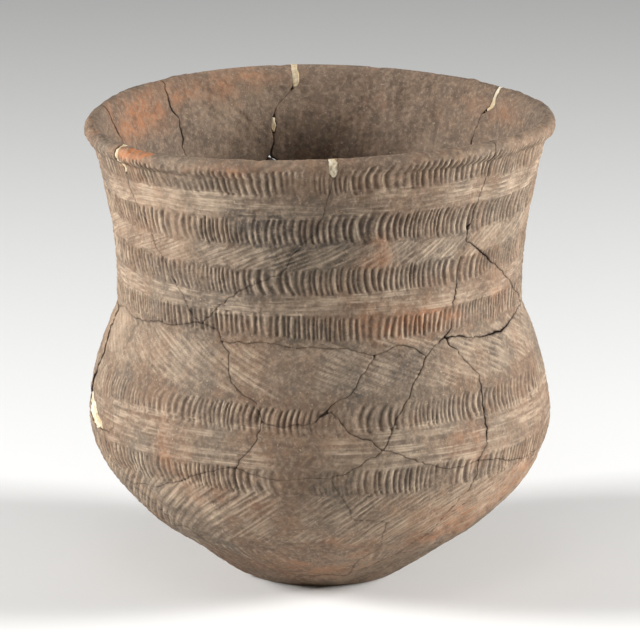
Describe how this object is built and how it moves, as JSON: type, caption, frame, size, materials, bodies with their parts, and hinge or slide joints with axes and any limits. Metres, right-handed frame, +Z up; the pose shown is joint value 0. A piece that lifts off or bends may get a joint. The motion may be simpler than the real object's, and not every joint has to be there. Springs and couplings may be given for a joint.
{
  "type": "prehistoric pottery jar",
  "caption": "Wide-mouthed hand-built pottery jar with a round belly, creased shoulder, flared neck and rolled lip, covered in engraved bands and mended from its sherds.",
  "frame": {"origin": "middle of the flat foot that the jar stands on", "axes": "+Z up along the jar's axis, -Y towards the front that the picture shows, +X to its right"},
  "size_m": [0.2479, 0.2494, 0.2486],
  "materials": {
    "fired_clay": "matte, brown-grey with orange and dark fire clouds, fine pale grit, engraved outside and smoothed inside",
    "plaster": "matte, cream-coloured mending plaster"
  },
  "bodies": {
    "root": {"base_sherd": "fired_clay", "belly_sherd_front": "fired_clay", "lower_sherd_back": "fired_clay", "lower_sherd_back_left": "fired_clay", "lower_sherd_back_right": "fired_clay", "lower_sherd_front_left": "fired_clay", "lower_sherd_front_right": "fired_clay", "lower_sherd_left": "fired_clay", "lower_sherd_right": "fired_clay", "neck_sherd_back": "fired_clay", "neck_sherd_front": "fired_clay", "neck_sherd_left": "fired_clay", "neck_sherd_right": "fired_clay", "rim_sherd_back": "fired_clay", "rim_sherd_back_left": "fired_clay", "rim_sherd_back_right": "fired_clay", "rim_sherd_front_left": "fired_clay", "rim_sherd_right": "fired_clay", "shoulder_sherd_back": "fired_clay", "shoulder_sherd_back_left": "fired_clay", "shoulder_sherd_back_right": "fired_clay", "shoulder_sherd_far_left": "fired_clay", "shoulder_sherd_front": "fired_clay", "shoulder_sherd_front_left": "fired_clay", "shoulder_sherd_front_right": "fired_clay", "shoulder_sherd_left": "fired_clay", "shoulder_sherd_left_back": "fired_clay", "shoulder_sherd_right": "fired_clay", "shoulder_sherd_right_back": "fired_clay", "plaster_chip_front_lip": "plaster", "plaster_fill_belly": "plaster", "plaster_fill_neck_back": "plaster", "plaster_fill_rim_back": "plaster", "plaster_fill_rim_back_right": "plaster", "plaster_fill_rim_front_left": "plaster"}
  },
  "joints": []
}
